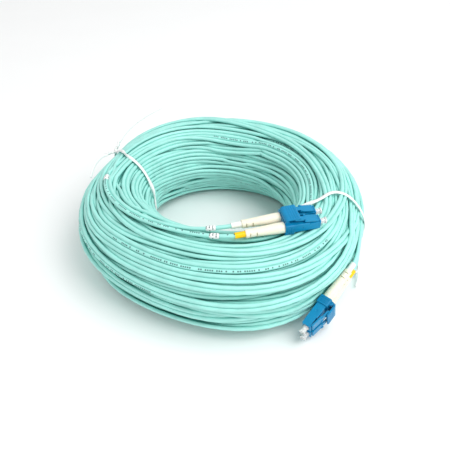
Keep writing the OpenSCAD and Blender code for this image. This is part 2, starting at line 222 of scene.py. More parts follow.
def brick_rows(step):
    """Places for pairs of jackets in rows across the bundle, as (across, up) from its middle."""
    places = []
    row = 0
    side_mm, top_mm = 1.6, 0.9
    up = -HALF_HEIGHT_MM + side_mm
    while up < HALF_HEIGHT_MM - top_mm:
        half = math.sqrt(max(0.0, 1 - (up / HALF_HEIGHT_MM) ** 2)) * HALF_WIDTH_MM - side_mm
        count = max(1, int(2 * half / step) + 1)
        across = (np.arange(count) - (count - 1) / 2) * step
        places += [(x, up) for x in (across if row % 2 == 0 else across[::-1])]
        up += step / 2
        row += 1
    return np.array(places)


def winding_order():
    """The turns' places in the order that they are wound: down the outside, then up in rows."""
    step, less = 8.0, 0.02
    while len(brick_rows(step)) < TURNS:
        step -= less
    places = brick_rows(step)[:TURNS]
    lower = np.where(places[:, 1] < OUTSIDE_TOP_MM)[0]
    rows = sorted({round(places[i, 1], 3) for i in lower}, reverse=True)
    first = [max((i for i in lower if round(places[i, 1], 3) == z), key=lambda i: places[i, 0])
             for z in rows]
    rest = [i for i in range(len(places)) if i not in first]
    return places[first + rest]


def route_in_slices(route):
    """Azimuth, across, up and half gap along a leg's route."""
    r = np.array(route, float)
    azimuth = np.unwrap(np.arctan2(r[:, 1], r[:, 0]))
    across = np.hypot(r[:, 0], r[:, 1]) - ring_radius(azimuth)
    return azimuth, across, r[:, 2] - HALF_HEIGHT_MM, r[:, 3]


def loose_turns(places):
    """1 for each turn that lies loosely over the others, 0 for the rest."""
    shell = np.hypot(places[:, 0] / HALF_WIDTH_MM, places[:, 1] / HALF_HEIGHT_MM) > SHELL_SHARE
    loose = np.zeros(len(places))
    loose[random.choice(np.flatnonzero(shell), LOOSE_TURNS, replace=False)] = 1.0
    return loose


def starting_lay(places, loose):
    """Each jacket's place at each slice, before the push: samples x 2 jackets x (across, up)."""
    turns = len(places)
    total = turns * SLICES
    at = np.arange(total) / SLICES
    i = at.astype(int)
    j = np.minimum(i + 1, turns - 1)
    f = at - i
    f = (f * f * (3 - 2 * f))[:, None]
    middle = places[i] * (1 - f) + places[j] * f
    slices = np.arange(total)
    wander = np.stack([size * waves(total, WANDER_TURNS * SLICES) for size in WANDER_MM], -1)
    azimuth = slice_azimuth(slices)
    turn = BUNDLE_TURN * (np.sin(azimuth + 0.6) + 0.5 * np.sin(2 * azimuth - 1.0))
    turn += (CIRCLE + LOOSE_CIRCLE * loose[i]) * waves(total, CIRCLE_TURNS * SLICES)
    across, up = middle.T
    middle = np.stack([across * np.cos(turn) - up * np.sin(turn),
                       across * np.sin(turn) + up * np.cos(turn)], -1)
    middle[:, 0] *= (ring_at(RING_OUTER - RING_INNER, azimuth) / 2) / HALF_WIDTH_MM
    roll = ROLL * waves(total, ROLL_TURNS * SLICES)
    half = np.stack([np.cos(roll), np.sin(roll)], -1) * TWIN_MM / 2
    return np.stack([middle + wander - half, middle + wander + half], 1)


def slice_azimuth(sample):
    """The azimuth in radians of the slice that a sample lies in."""
    return (sample + FIRST_SLICE) * 2 * np.pi / SLICES


def hold_legs(lay):
    """Indices and places of the samples that the two legs' routes fix."""
    total = len(lay) - OPEN_SLICES
    longest_b, longest_a = 12, 24
    held, places = [], []
    azimuth, across, up, gap = route_in_slices(LEG_B_MM)
    for t in range(longest_b):
        a = slice_azimuth(t)
        if azimuth[0] <= a <= azimuth[-1]:
            middle = np.array([np.interp(a, azimuth, across), np.interp(a, azimuth, up)])
            half = np.array([0.0, np.interp(a, azimuth, gap)])
            held.append(t)
            places.append([middle + half, middle - half])
    azimuth, across, up, gap = route_in_slices(LEG_A_MM)
    whole = 2 * np.pi * round(slice_azimuth(total) / (2 * np.pi))
    for t in range(total - longest_a, total):
        a = slice_azimuth(t) - whole
        a += 2 * np.pi * round((azimuth.mean() - a) / (2 * np.pi))
        if azimuth.min() <= a <= azimuth.max():
            order = np.argsort(azimuth)
            middle = np.array([np.interp(a, azimuth[order], across[order]),
                               np.interp(a, azimuth[order], up[order])])
            half = np.array([np.interp(a, azimuth[order], gap[order]), 0.0])
            held.append(t)
            places.append([middle - half, middle + half])
    return np.array(held), np.array(places)


def obstacles():
    """Discs, one list per slice, that stand for the plugs and boots: (across, up, radius)."""
    found = [[] for _ in range(SLICES)]
    step = 2 * np.pi / SLICES
    cap_front_x, clip_back_x, boot_middle_x, boot_end_x = 4.0, -17.0, -25.0, -40.0
    cap_r, nose_r, boot_r, boot_end_r = 1.6, 2.9, 2.6, 2.1
    disc_step, near_slice = 0.5, 0.012
    for end in "ab":
        for side in (-1, 0, 1):
            for x in np.arange(boot_end_x, cap_front_x, disc_step):
                if side == 0 and x < clip_back_x:
                    continue
                if x < clip_back_x:
                    radius = boot_r if x > boot_middle_x else boot_end_r
                else:
                    radius = nose_r if x < 0 else cap_r
                p = from_plug(end, (x, side * PITCH_MM / 2, 0))
                azimuth = math.atan2(p[1], p[0])
                k = round(azimuth / step)
                if abs(azimuth - k * step) < near_slice:
                    across = math.hypot(p[0], p[1]) - ring_radius(azimuth)
                    disc = (across, p[2] - HALF_HEIGHT_MM, radius)
                    found[(k - FIRST_SLICE) % SLICES].append(disc)
    most = max(len(discs) for discs in found)
    out = np.full((SLICES, most, 3), FAR_AWAY_MM)
    for k, discs in enumerate(found):
        for n, disc in enumerate(discs):
            out[k, n] = disc
    out[out[:, :, 0] == FAR_AWAY_MM, 2] = 0
    return out


def even_roll(lay, held):
    """Spreads each sudden swap of the two jackets' sides over a short half turn of the pair."""
    middle = lay.mean(1)
    half = lay[:, 1] - middle
    size = np.linalg.norm(half, axis=1, keepdims=True)
    roll = np.unwrap(np.arctan2(half[:, 1], half[:, 0]))
    for _ in range(ROLL_SMOOTHINGS):
        kept = roll[held].copy()
        roll[1:-1] = (roll[:-2] + 2 * roll[1:-1] + roll[2:]) / 4
        roll[held] = kept
    half = size * np.stack([np.cos(roll), np.sin(roll)], -1)
    return np.stack([middle - half, middle + half], 1)


def push_apart(lay, loose):
    """Relaxes the lay: stiff along its length, and no jacket inside another, a tie or a plug."""
    turns = len(lay) // SLICES
    total = len(lay) - OPEN_SLICES
    slice_at = slice_azimuth(np.arange(SLICES))
    half_w = ring_at(RING_OUTER - RING_INNER, slice_at) / 2
    half_h = np.full(SLICES, HALF_HEIGHT_MM)
    for azimuth, narrower, lower in TIE_SQUEEZES:
        apart = np.abs((slice_at - azimuth + np.pi) % (2 * np.pi) - np.pi)
        pull = np.exp(-((apart / TIE_REACH) ** 2))
        half_w -= narrower * pull
        half_h -= lower * pull
    reach_w = (half_w - JACKET_MM / 2)[:, None]
    reach_h = (half_h - JACKET_MM / 2)[:, None]
    bumps = waves(len(lay), WANDER_TURNS * SLICES).reshape(turns, SLICES).T.clip(-1.5, 1.2)
    slack = FULLNESS + UNEVENNESS * bumps
    slack = np.repeat(slack + LOOSE_LIFT * loose, 2, axis=1)
    blocks = obstacles()
    held, held_at = hold_legs(lay)
    rows = np.arange(SLICES)[:, None, None]
    # Each jacket is kept off its nearest neighbours, which are looked up again now and then
    near, look_again = 10, 6
    clearance, push, squeeze = 0.02, 0.375, 0.6
    for step in range(ROUNDS):
        stiffness = 0.5 if step < 0.8 * ROUNDS else 0.3
        for _ in range(STRAIGHTENINGS if step < 0.9 * ROUNDS else 1):
            # The second step gives the long waves back, and the short kinks stay smoothed
            for pull in (stiffness, -0.8 * stiffness):
                before = lay[:total].copy()
                lay[1:total - 1] += pull * ((before[:-2] + before[2:]) / 2 - before[1:-1])
            lay[held] = held_at
        lay[total:] = FAR_AWAY_MM + np.arange(OPEN_SLICES * 4).reshape(OPEN_SLICES, 2, 2) * 9
        discs = lay.reshape(turns, SLICES, 2, 2).transpose(1, 0, 2, 3).reshape(SLICES, turns * 2, 2)
        if step % look_again == 0:
            apart = ((discs[:, :, None, :] - discs[:, None, :, :]) ** 2).sum(-1)
            beside = np.argpartition(apart, near + 1, axis=2)[:, :, :near + 1]
        for _ in range(2):
            away = discs[:, :, None, :] - discs[rows, beside]
            distance = np.sqrt((away ** 2).sum(-1))
            overlap = np.clip(JACKET_MM + clearance - distance, 0, None)
            overlap[distance < 1e-9] = 0
            discs = discs + push * (away / np.maximum(distance, 1e-6)[..., None]
                                    * overlap[..., None]).sum(2)
            twins = discs.reshape(SLICES, turns, 2, 2)
            middle = twins.mean(2, keepdims=True)
            half = twins - middle
            size = np.sqrt((half ** 2).sum(-1, keepdims=True))
            discs = (middle + half / np.maximum(size, 1e-6) * TWIN_MM / 2).reshape(discs.shape)
            upright = discs[..., 0] + LEAN_MM * discs[..., 1] / HALF_HEIGHT_MM
            out = np.sqrt((upright / reach_w) ** 2 + (discs[..., 1] / reach_h) ** 2) / slack
            inward = np.where((out > 1) & (out < 3), 1 / out, 1.0)
            discs = discs * (1 + squeeze * (inward - 1))[..., None]
            for n in range(blocks.shape[1]):
                off = discs - blocks[:, n, None, :2]
                gap = np.sqrt((off ** 2).sum(-1))
                need = np.clip(blocks[:, n, None, 2] + JACKET_MM / 2 - gap, 0, None)
                need[:, :] *= blocks[:, n, 2][:, None] > 0
                discs = discs + off / np.maximum(gap, 1e-6)[..., None] * need[..., None]
            discs[..., 1] = np.maximum(discs[..., 1], JACKET_MM / 2 - HALF_HEIGHT_MM)
        lay = discs.reshape(SLICES, turns, 2, 2).transpose(1, 0, 2, 3).reshape(-1, 2, 2)
        lay[held] = held_at
    return even_roll(lay[:total], held)


def slice_point(azimuth, across, up):
    """A point of the slice at an azimuth, in mm from the coil's middle."""
    r = ring_radius(azimuth) + across
    return np.stack([r * np.cos(azimuth), r * np.sin(azimuth), up + HALF_HEIGHT_MM], -1)


def lay_to_points(lay):
    """Turns (across, up) at each sample into points in mm from the coil's middle."""
    azimuth = np.broadcast_to(slice_azimuth(np.arange(len(lay)))[:, None], lay.shape[:2])
    return slice_point(azimuth, lay[..., 0], lay[..., 1])


def even_out(points, start, stop, rounds):
    """Smooths the points from start to stop where a leg joins the lay."""
    for _ in range(rounds):
        mid = (points[start - 1:stop - 1] + points[start + 1:stop + 1]) / 2
        points[start:stop] += 0.5 * (mid - points[start:stop])
    return points


def bridge(before, start, end, after, count):
    """Points on a smooth curve from start to end, without the two ends."""
    size = np.linalg.norm(end - start)
    leave = (start - before) / np.linalg.norm(start - before) * size
    arrive = (after - end) / np.linalg.norm(after - end) * size
    t = (np.arange(count) + 1)[:, None] / (count + 1)
    return ((2 * t ** 3 - 3 * t ** 2 + 1) * start + (t ** 3 - 2 * t ** 2 + t) * leave
            + (3 * t ** 2 - 2 * t ** 3) * end + (t ** 3 - t ** 2) * arrive)


def jacket_paths(lay):
    """The middle lines of the two jackets, from plug b to plug a."""
    coil = lay_to_points(lay)
    station_step = -4.0
    stations = [*np.arange(JACKET_FRONT_X_MM, STRAIGHT_BACK_X_MM, station_step),
                STRAIGHT_BACK_X_MM]
    paths = []
    for n in (1, 2):
        head = np.array([on_channel(f"b{n}", x) for x in stations])
        tail = np.array([on_channel(f"a{n}", x) for x in reversed(stations)])
        strand = coil[:, n - 1]
        leave = bridge(head[-2], head[-1], strand[0], strand[1], 2)
        arrive = bridge(strand[-2], strand[-1], tail[0], tail[1], 1)
        path = np.concatenate([head, leave, strand, arrive, tail])
        straight = len(head) - 1
        path = even_out(path, straight, straight + LEG_B_SMOOTHED, LEG_SMOOTHINGS)
        path = even_out(path, len(path) - LEG_A_SMOOTHED, len(path) - straight, LEG_SMOOTHINGS)
        paths.append(path)
    return paths


# ---- Meshes ----


def mesh_object(name, verts, faces, smooth=True):
    """An object from plain arrays of vertices and equal-sided faces."""
    mesh = bpy.data.meshes.new(name)
    verts = np.asarray(verts, np.float32)
    faces = np.asarray(faces, np.int32)
    sides = faces.shape[1]
    mesh.vertices.add(len(verts))
    mesh.vertices.foreach_set("co", verts.ravel())
    mesh.loops.add(faces.size)
    mesh.loops.foreach_set("vertex_index", faces.ravel())
    mesh.polygons.add(len(faces))
    mesh.polygons.foreach_set("loop_start", np.arange(len(faces), dtype=np.int32) * sides)
    mesh.polygons.foreach_set("loop_total", np.full(len(faces), sides, np.int32))
    mesh.polygons.foreach_set("use_smooth", np.full(len(faces), smooth))
    mesh.update(calc_edges=True)
    mesh.validate()
    obj = bpy.data.objects.new(name, mesh)
    scene.collection.objects.link(obj)
    return obj


def steps_of(path):
    """The distance along a path at each of its points."""
    return np.concatenate([[0], np.cumsum(np.linalg.norm(np.diff(path, axis=0), axis=1))])


def tube_frames(path, across):
    """Two unit normals at each point of a path; the first lies near across."""
    ahead = np.gradient(path, axis=0)
    ahead /= np.linalg.norm(ahead, axis=1, keepdims=True)
    first = across - (across * ahead).sum(1, keepdims=True) * ahead
    first /= np.linalg.norm(first, axis=1, keepdims=True)
    return first, np.cross(ahead, first)


def sweep(name, path, first, second, outline, sizes=1.0):
    """A tube with an outline, (a, b) pairs in metres, swept along a path; its ends are left open.

    sizes scales the outline at each point of the path."""
    outline = np.asarray(outline)
    sides = len(outline)
    rings = len(path)
    sizes = np.broadcast_to(sizes, (rings,))[:, None, None]
    verts = (path[:, None, :] + sizes * outline[None, :, 0, None] * first[:, None, :]
             + sizes * outline[None, :, 1, None] * second[:, None, :]).reshape(-1, 3)
    a = np.arange(rings - 1)[:, None] * sides + np.arange(sides)[None, :]
    b = np.arange(rings - 1)[:, None] * sides + (np.arange(sides)[None, :] + 1) % sides
    faces = np.stack([a, b, b + sides, a + sides], -1).reshape(-1, 4)
    obj = mesh_object(name, verts, faces)
    along = steps_of(path)
    uv = obj.data.uv_layers.new(name="sweep")
    k = np.arange(sides)
    around = np.stack([k, k + 1, k + 1, k], -1) / sides
    u = np.broadcast_to(around, (rings - 1, sides, 4))
    v = np.stack([along[:-1], along[:-1], along[1:], along[1:]], -1)[:, None, :]
    v = np.broadcast_to(v, (rings - 1, sides, 4))
    uv.data.foreach_set("uv", np.stack([u, v], -1).astype(np.float32).ravel())
    return obj


def circle_outline(radius, sides):
    """A round outline for sweep."""
    a = 2 * np.pi * np.arange(sides) / sides
    return np.stack([radius * np.cos(a), radius * np.sin(a)], -1)


# ---- Materials ----


def socket_value(tree, socket, value):
    """Links a value that is another node's output, or sets a plain one."""
    if isinstance(value, bpy.types.NodeSocket):
        tree.links.new(value, socket)
    else:
        socket.default_value = value


def math_node(tree, operation, *values):
    """The output of a Math node on plain values or other nodes' outputs."""
    made = tree.nodes.new("ShaderNodeMath")
    made.operation = operation
    for socket, value in zip(made.inputs, values):
        socket_value(tree, socket, value)
    return made.outputs[0]


def noise_node(tree, vector, size_mm, detail=3.0):
    """Noise with features about size_mm wide; vector is in metres."""
    made = tree.nodes.new("ShaderNodeTexNoise")
    made.inputs["Scale"].default_value = 1 / (size_mm * MM)
    made.inputs["Detail"].default_value = detail
    tree.links.new(vector, made.inputs["Vector"])
    return made.outputs["Fac"]


def range_node(tree, value, low, high):
    """Stretches noise, which stays near 0.3 to 0.7, to low to high."""
    made = tree.nodes.new("ShaderNodeMapRange")
    made.inputs["From Min"].default_value = 0.3
    made.inputs["From Max"].default_value = 0.7
    made.inputs["To Min"].default_value = low
    made.inputs["To Max"].default_value = high
    tree.links.new(value, made.inputs["Value"])
    return made.outputs["Result"]


def mix_node(tree, factor, first, second):
    """The colour factor of the way from first to second."""
    made = tree.nodes.new("ShaderNodeMix")
    made.data_type = "RGBA"
    socket_value(tree, made.inputs["Factor"], factor)
    socket_value(tree, made.inputs["A"], first)
    socket_value(tree, made.inputs["B"], second)
    return made.outputs["Result"]


def bump_node(tree, height, depth_mm, below=None):
    """A normal for a height of 0 to 1, depth_mm deep, on top of another bump's normal."""
    made = tree.nodes.new("ShaderNodeBump")
    made.inputs["Strength"].default_value = 1.0
    made.inputs["Distance"].default_value = depth_mm * MM
    tree.links.new(height, made.inputs["Height"])
    if below is not None:
        tree.links.new(below, made.inputs["Normal"])
    return made.outputs["Normal"]


def shade(colour, factor):
    """A colour made lighter or darker, with an alpha of 1."""
    return (*(min(1.0, c * factor) for c in colour), 1.0)


def moulded(name, colour, roughness, grain_mm=0.25, depth_mm=0.006, mottle=0.06, **sockets):
    """A plastic, metal or rubber with a fine grain, slow colour changes and uneven gloss.

    Returns the material, its tree, its shader, its colour and its normal."""
    mat = bpy.data.materials.new(name)
    mat.use_nodes = True
    tree = mat.node_tree
    shader = tree.nodes["Principled BSDF"]
    for socket, value in sockets.items():
        shader.inputs[socket.replace("_", " ")].default_value = value
    place = tree.nodes.new("ShaderNodeTexCoord").outputs["Object"]
    grain = noise_node(tree, place, grain_mm)
    slow = noise_node(tree, place, 14 * grain_mm, 2.0)
    tone = mix_node(tree, range_node(tree, slow, 0, 1), shade(colour, 1 - mottle),
                    shade(colour, 1 + mottle))
    tree.links.new(tone, shader.inputs["Base Color"])
    gloss = range_node(tree, grain, roughness - 0.06, roughness + 0.06)
    tree.links.new(gloss, shader.inputs["Roughness"])
    normal = bump_node(tree, grain, depth_mm)
    tree.links.new(normal, shader.inputs["Normal"])
    return mat, tree, shader, tone, normal


def uv_parts(tree):
    """The swept pieces' own coordinates: part of the way round, and metres along."""
    uv = tree.nodes.new("ShaderNodeUVMap")
    uv.uv_map = "sweep"
    parts = tree.nodes.new("ShaderNodeSeparateXYZ")
    tree.links.new(uv.outputs["UV"], parts.inputs["Vector"])
    return parts.outputs["X"], parts.outputs["Y"]


def dash_mask(tree, along, dash_mm, share):
    """1 on random dashes along a line, each up to dash_mm long."""
    cell = math_node(tree, "DIVIDE", along, dash_mm * MM)
    number = math_node(tree, "FLOOR", cell)
    chance = tree.nodes.new("ShaderNodeTexWhiteNoise")
    chance.noise_dimensions = "1D"
    tree.links.new(number, chance.inputs["W"])
    on = math_node(tree, "LESS_THAN", chance.outputs["Value"], share)
    inked = math_node(tree, "LESS_THAN", math_node(tree, "FRACT", cell), DASH_SHARE)
    return math_node(tree, "MULTIPLY", on, inked)


def band_mask(tree, value, middle, half):
    """1 where value is within half of middle."""
    off = math_node(tree, "ABSOLUTE", math_node(tree, "SUBTRACT", value, middle))
    return math_node(tree, "LESS_THAN", off, half)


def painted_crevice_shade(tree, reach_mm):
    """Painted shade factor: 0 far into the gaps between touching pieces, 1 where the surface is
    open.
    """
    open_sky = tree.nodes.new("ShaderNodeAmbientOcclusion")
    open_sky.samples = 8
    open_sky.inputs["Distance"].default_value = reach_mm * MM
    spread = tree.nodes.new("ShaderNodeMapRange")
    spread.inputs["From Min"].default_value = 0.05
    spread.inputs["From Max"].default_value = 0.60
    tree.links.new(open_sky.outputs["AO"], spread.inputs["Value"])
    return spread.outputs["Result"]


def jacket_material():
    """Satin aqua jacket with painted shade in its crevices, and plain printed dashes along one
    flank.
    """
    mat, tree, shader, tone, _ = moulded(
        "aqua_jacket", JACKET_AQUA, 0.34, grain_mm=0.5, depth_mm=0.012, mottle=0.07,
        Specular_IOR_Level=0.45,
    )
    dash_mm, dashes_on, flank, half_band = 1.0, 0.6, 0.25, 0.055
    repeat_m, printed_share, ink_strength, crevice_mm = 0.87, 0.13, 0.85, 3.5
    around, along = uv_parts(tree)
    ink = math_node(tree, "MULTIPLY", dash_mask(tree, along, dash_mm, dashes_on),
                    band_mask(tree, around, flank, half_band))
    stretch = math_node(tree, "FRACT", math_node(tree, "DIVIDE", along, repeat_m))
    ink = math_node(tree, "MULTIPLY", ink, math_node(tree, "LESS_THAN", stretch, printed_share))
    faint = math_node(tree, "MULTIPLY", ink, ink_strength)
    # Painted shade: the base colour darkens to a dark teal where ambient occlusion finds crevices
    # between jackets
    shaded_tone = mix_node(tree, painted_crevice_shade(tree, crevice_mm), JACKET_PAINTED_SHADE, tone)
    tree.links.new(mix_node(tree, faint, shaded_tone, PRINT_INK), shader.inputs["Base Color"])
    return mat


def label_material():
    """White paper wrap with rows of plain dashes."""
    mat, tree, shader, tone, _ = moulded(
        "label_paper", (0.88, 0.89, 0.88), 0.6, grain_mm=0.15, depth_mm=0.01, mottle=0.03
    )
    row_mm, row_share, round_mm, dash_mm, dashes_on = 1.5, 0.36, 8.5, 0.9, 0.7
    around, along = uv_parts(tree)
    row = math_node(tree, "DIVIDE", along, row_mm * MM)
    rows = math_node(tree, "LESS_THAN", math_node(tree, "FRACT", row), row_share)
    across_row = math_node(tree, "MULTIPLY", around, round_mm * MM)
    shifted = math_node(tree, "ADD", across_row, math_node(tree, "FLOOR", row))
    ink = math_node(tree, "MULTIPLY", rows, dash_mask(tree, shifted, dash_mm, dashes_on))
    tree.links.new(mix_node(tree, ink, tone, PRINT_INK), shader.inputs["Base Color"])
    return mat


def tie_material():
    """White plastic skin over a wire, with faint ribs across it."""
    mat, tree, shader, _, normal = moulded(
        "tie_plastic", (0.88, 0.90, 0.89), 0.38, grain_mm=0.3, depth_mm=0.01, mottle=0.03
    )
    rib_mm, rib_depth_mm = 0.7, 0.015
    _, along = uv_parts(tree)
    ribs = math_node(tree, "SINE", math_node(tree, "MULTIPLY", along, 2 * math.pi / (rib_mm * MM)))
    tree.links.new(bump_node(tree, ribs, rib_depth_mm, normal), shader.inputs["Normal"])
    return mat


def yarn_material():
    """Golden aramid: fine fibres laid side by side."""
    mat, tree, shader, _, normal = moulded(
        "aramid_fibres", (0.80, 0.60, 0.14), 0.55, grain_mm=0.1, depth_mm=0.01, mottle=0.2
    )
    fibre_mm, fibre_depth_mm = 0.12, 0.03
    fibres = tree.nodes.new("ShaderNodeTexWave")
    fibres.inputs["Scale"].default_value = 1 / (fibre_mm * MM)
    fibres.inputs["Distortion"].default_value = 2.0
    tree.links.new(tree.nodes["Texture Coordinate"].outputs["Object"], fibres.inputs["Vector"])
    ridges = bump_node(tree, fibres.outputs["Fac"], fibre_depth_mm, normal)
    tree.links.new(ridges, shader.inputs["Normal"])
    return mat


JACKET_AQUA = (0.36, 0.78, 0.71)
# Painted shade colour for the crevices between touching jackets, where the light takes on their
# colour
JACKET_PAINTED_SHADE = (0.02, 0.36, 0.31, 1.0)
PRINT_INK = (0.02, 0.10, 0.10, 1.0)
# How much of its cell each printed dash fills
DASH_SHARE = 0.68
LOOKS = {
    "plug_housing": moulded("housing_plastic", (0.002, 0.225, 0.45), 0.34,
                            Specular_IOR_Level=0.3)[0],
    "latch_lever": moulded("latch_plastic", (0.004, 0.24, 0.47), 0.32,
                           Specular_IOR_Level=0.35)[0],
    "duplex_clip": moulded("clip_plastic", (0.002, 0.20, 0.41), 0.34, Specular_IOR_Level=0.3)[0],
    "trigger": moulded("trigger_plastic", (0.002, 0.225, 0.46), 0.36, depth_mm=0.009,
                       Specular_IOR_Level=0.3)[0],
    "ferrule": moulded("zirconia", (0.86, 0.87, 0.84), 0.14, 0.1, 0.001, 0.02)[0],
    "ferrule_flange": moulded("flange_nickel", (0.62, 0.61, 0.58), 0.28, Metallic=1.0)[0],
    "spring": moulded("spring_steel", (0.55, 0.56, 0.58), 0.30, 0.1, 0.003, Metallic=1.0)[0],
    "spring_body": moulded("turned_metal", (0.72, 0.72, 0.70), 0.33, Metallic=1.0)[0],
    "crimp_sleeve": moulded("crimp_metal", (0.60, 0.60, 0.61), 0.42, depth_mm=0.02,
                            Metallic=1.0)[0],
    "aramid_yarn": yarn_material(),
    "buffered_fiber": moulded("fiber_coating", (0.25, 0.66, 0.58), 0.4)[0],
    "boot": moulded("boot_ivory", (0.86, 0.82, 0.67), 0.45, depth_mm=0.008, mottle=0.03,
                    Subsurface_Weight=0.1, Subsurface_Scale=0.001)[0],
    "marker_white": moulded("sleeve_white", (0.86, 0.89, 0.85), 0.4, mottle=0.03)[0],
    "marker_yellow": moulded("sleeve_yellow", (0.92, 0.56, 0.001), 0.4, mottle=0.04,
                             Specular_IOR_Level=0.3)[0],
    "dust_cap": moulded("cap_translucent", (0.93, 0.95, 0.94), 0.22, mottle=0.02,
                        Transmission_Weight=0.45, IOR=1.46)[0],
}
JACKET = jacket_material()
LABEL = label_material()
TIE = tie_material()

# ---- Pieces ----

BODY_OF = {
    node: body for body, nodes in frame["record"]["behaviour"]["bodies"].items() for node in nodes
}
CHANNEL_PIECES = (
    "plug_housing", "latch_lever", "ferrule", "ferrule_flange", "spring", "spring_body",
    "aramid_yarn", "crimp_sleeve", "buffered_fiber", "boot", "marker_sleeve", "dust_cap",
)
# How wide each kind's sharp edges are rounded, in mm
ROUNDED = {"plug_housing": 0.09, "latch_lever": 0.09, "duplex_clip": 0.12, "trigger": 0.12,
           "boot": 0.08, "dust_cap": 0.07}
WELD = 2e-6
SAME_PLANE = math.radians(0.8)
SHARP = math.radians(32)


def rounded_copy(name, width_mm):
    """A copy of a CAD node with its sharp edges rounded, which stands for it."""
    source = frame["nodes"][name]
    mesh = source.data.copy()
    shape = bmesh.new()
    shape.from_mesh(mesh)
    bmesh.ops.remove_doubles(shape, verts=shape.verts, dist=WELD)
    bmesh.ops.dissolve_limit(shape, angle_limit=SAME_PLANE, verts=shape.verts, edges=shape.edges)
    shape.to_mesh(mesh)
    shape.free()
    raw = bpy.data.objects.new(f"{name}_raw", mesh)
    scene.collection.objects.link(raw)
    bevel = raw.modifiers.new("edges", "BEVEL")
    bevel.width = width_mm * MM
    bevel.segments = 2
    bevel.limit_method = "ANGLE"
    bevel.angle_limit = SHARP
    weighted = raw.modifiers.new("normals", "WEIGHTED_NORMAL")
    weighted.keep_sharp = True
    for face in mesh.polygons:
        face.use_smooth = True
    bpy.context.view_layer.update()
    evaluated = raw.evaluated_get(bpy.context.evaluated_depsgraph_get())
    final = bpy.data.meshes.new_from_object(evaluated)
    bpy.data.objects.remove(raw)
    piece = bpy.data.objects.new(f"{name}_moulded", final)
    scene.collection.objects.link(piece)
    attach(piece, BODY_OF[name])
    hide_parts(name)
    return piece


def look_of(name):
    """The material of a CAD node, from its name."""
    if name.startswith("marker_sleeve"):
        return LOOKS["marker_white" if name.endswith("1") else "marker_yellow"]
    return LOOKS[name.rsplit("_", 1)[0]]


pieces = {}
for name, node in frame["nodes"].items():
    kind = name.rsplit("_", 1)[0]
    if kind in LOOKS or kind == "marker_sleeve":
        pieces[name] = rounded_copy(name, ROUNDED[kind]) if kind in ROUNDED else node
        pieces[name].data.materials.clear()
        pieces[name].data.materials.append(look_of(name))

# ---- Jackets ----

JACKET_SIDES = 10
# The thin web that joins the two jackets where they lie side by side
WEB_HALF_WIDTH = 0.5 * MM
WEB_HALF_THICKNESS = 0.25 * MM
SIDE_BY_SIDE = 1.15 * TWIN_MM * MM

places = winding_order()
loose = loose_turns(places)
lay = push_apart(starting_lay(places, loose), loose)
paths = jacket_paths(lay)
worlds = [to_world(p) for p in paths]
between = worlds[1] - worlds[0]
for n in (1, 2):
    path = worlds[n - 1]
    first, second = tube_frames(path, between if n == 1 else -between)
    outline = circle_outline(JACKET_MM / 2 * MM, JACKET_SIDES)
    jacket = sweep(f"jacket_{n}", path, first, second, outline)
    jacket.data.materials.append(JACKET)
    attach(jacket, "root")
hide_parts("cable_coil", "cable_leg_a1", "cable_leg_b1")
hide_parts("cable_leg_a2", "cable_leg_b2")

joined = np.linalg.norm(between, axis=1) < SIDE_BY_SIDE
joined[[0, -1]] = False
start = int(np.argmax(joined))
stop = len(joined) - int(np.argmax(joined[::-1]))
web_path = (worlds[0] + worlds[1])[start:stop] / 2
web_first, web_second = tube_frames(web_path, between[start:stop])
web_outline = [(-WEB_HALF_WIDTH, -WEB_HALF_THICKNESS), (WEB_HALF_WIDTH, -WEB_HALF_THICKNESS),
               (WEB_HALF_WIDTH, WEB_HALF_THICKNESS), (-WEB_HALF_WIDTH, WEB_HALF_THICKNESS)]
web = sweep("jacket_web", web_path, web_first, web_second, web_outline)
web.data.materials.append(JACKET)
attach(web, "root")

# ---- Label wraps ----

LABEL_MM = 4.6
LABEL_R_MM = 1.32
# How far the wrap's two ends turn in
LABEL_LIP_MM = 0.32
LABEL_RINGS = 7
LABEL_SIDES = 20
# How far the wraps near plug a lie behind its marker sleeves, and where the coil's wrap lies
LABEL_BEHIND_MM = 9.0
COIL_LABEL_MM = (-58.2, 0.5, 43.4)
# The side that the wraps' seams face
SEAM = (0.0, 0.3, 1.0)


def label_wrap(name, path, middle):
    """A wrap around a jacket, middle metres along its path."""
    along = steps_of(path)
    at = middle + np.linspace(-0.5, 0.5, LABEL_RINGS) * LABEL_MM * MM
    line = np.stack([np.interp(at, along, path[:, k]) for k in range(3)], -1)
    first, second = tube_frames(line, np.broadcast_to(SEAM, line.shape))
    radii = np.full(LABEL_RINGS, LABEL_R_MM)
    radii[[0, -1]] -= LABEL_LIP_MM
    wrap = sweep(name, line, first, second, circle_outline(MM, LABEL_SIDES), radii)
    wrap.data.materials.append(LABEL)
    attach(wrap, "root")
    return wrap


for n in (1, 2):
    path = worlds[n - 1]
    length = steps_of(path)[-1]
    sleeve = (JACKET_FRONT_X_MM - MARKER_BACK_X_MM) * MM
    label_wrap(f"label_a{n}", path, length - sleeve - LABEL_BEHIND_MM * MM)
near_end = len(worlds[1]) - SLICES
off = np.linalg.norm(worlds[1][near_end:] - to_world(COIL_LABEL_MM), axis=1)
nearest = near_end + int(off.argmin())
label_wrap("label_coil", worlds[1], steps_of(worlds[1])[nearest])
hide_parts("cable_labels")

# ---- Twist ties ----

TIE_HALF_MM = 0.9
TIE_SKIN_MM = 0.17
TIE_WIRE_MM = 0.42
TIE_STEP_MM = 0.7
# How many points the loop, a knot's half and a tail have, and how often the loop is smoothed
LOOP_POINTS = 96
SPIRAL_POINTS = 22
TAIL_POINTS = 26
TIE_SMOOTHINGS = 10
LOOP_SMOOTHINGS = 8
# Which part of the loop a half twist takes
TWIST_SHARE = 0.10
# The knot: its length and radius, its turns, and how far it stands off the bundle and leans out
KNOT_MM = 6.0
KNOT_R_MM = 0.62
KNOT_TURNS = 1.5
KNOT_OFF_MM = 0.9
KNOT_LEAN = 0.35
